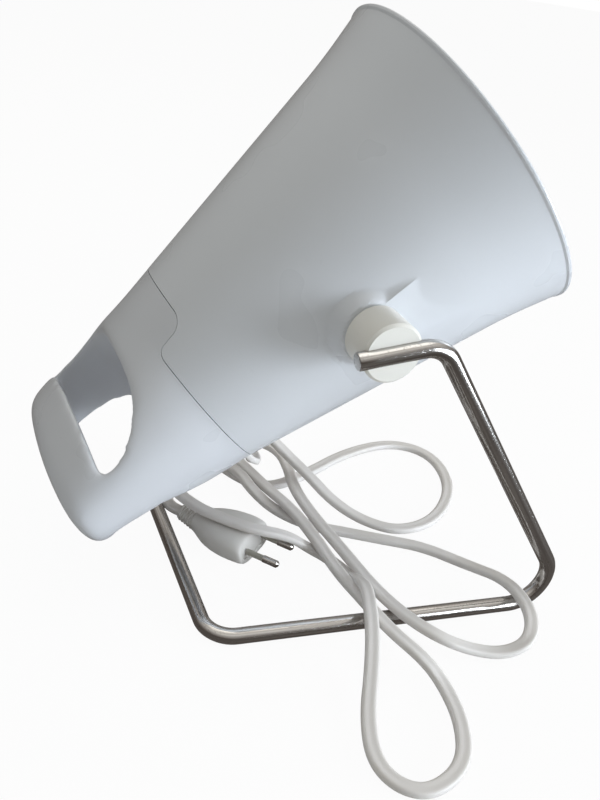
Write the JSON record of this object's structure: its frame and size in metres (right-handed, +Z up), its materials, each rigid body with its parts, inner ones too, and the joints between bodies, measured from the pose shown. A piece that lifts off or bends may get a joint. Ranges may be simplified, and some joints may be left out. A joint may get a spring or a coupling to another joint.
{
  "type": "infrared heat therapy lamp",
  "caption": "Bell-shaped infrared heat lamp with a looped rear handle, hinged between knobs on a bent wire stand, with its mains cord and flat plug.",
  "frame": {"origin": "on the table, under the middle of the lamp without its cord and plug", "axes": "+X the way the shade looks, +Y to the lamp's left along the hinge line, +Z up"},
  "size_m": [0.2746, 0.2801, 0.2666],
  "materials": {
    "black_glaze": "black glass",
    "block_plastic": "moulded",
    "brass_parts": "plain",
    "ceramic": "glazed white ceramic",
    "clamp_plastic": "moulded",
    "cord_white": "soft white PVC, slightly yellowed",
    "cover_white": "glossy moulded white",
    "fibre_washer": "pressed fibre",
    "gland_white": "moulded white",
    "knob_cream": "glossy cream",
    "live_lead": "brown insulation",
    "neutral_lead": "blue insulation",
    "pin_chrome": "nickel plated",
    "pin_sleeve": "insulating sleeve",
    "plug_white": "moulded white PVC, slightly yellowed",
    "rod_chrome": "chromed, lightly pitted",
    "ruby_glass": "ruby glass",
    "shade_white": "glossy moulded white",
    "shield_aluminium": "bright sheet",
    "zinc_steel": "zinc plated"
  },
  "bodies": {
    "stand": {"cord_tube": "cord_white", "friction_washer_far": "fibre_washer", "friction_washer_near": "fibre_washer", "knob_far": "knob_cream", "knob_near": "knob_cream", "lock_nut_far": "zinc_steel", "lock_nut_near": "zinc_steel", "pivot_stud_far": "zinc_steel", "pivot_stud_near": "zinc_steel", "plug_body": "plug_white", "plug_collar": "plug_white", "plug_pin_1": "pin_chrome", "plug_pin_2": "pin_chrome", "plug_sleeve_1": "pin_sleeve", "plug_sleeve_2": "pin_sleeve", "spring_washer_far": "zinc_steel", "spring_washer_near": "zinc_steel", "wire_stand": "rod_chrome"},
    "head": {"bracket_screw_1": "zinc_steel", "bracket_screw_2": "zinc_steel", "bracket_screw_3": "zinc_steel", "bracket_screw_4": "zinc_steel", "bulb_cap": "brass_parts", "bulb_contact": "brass_parts", "bulb_glass": "ruby_glass", "bulb_insulator": "black_glaze", "clamp_screw_1": "zinc_steel", "clamp_screw_2": "zinc_steel", "cord_bushing": "gland_white", "cord_clamp": "clamp_plastic", "cord_stub": "cord_white", "cover_screw_1": "zinc_steel", "cover_screw_2": "zinc_steel", "front_shell": "shade_white", "heat_shield": "shield_aluminium", "holder_bracket": "zinc_steel", "holder_screw_1": "zinc_steel", "holder_screw_2": "zinc_steel", "lampholder_body": "ceramic", "lampholder_contact": "brass_parts", "lampholder_sleeve": "brass_parts", "live_lead": "live_lead", "neutral_lead": "neutral_lead", "rear_cover": "cover_white", "terminal_block": "block_plastic", "terminal_screw_1": "zinc_steel", "terminal_screw_2": "zinc_steel"}
  },
  "joints": [
    {"name": "head_tilt", "type": "hinge", "parent": "stand", "child": "head", "pos_m": [0.0015, 0, 0.1505], "axis": [0, 1, 0], "range_deg": [-5.5, 70]}
  ]
}
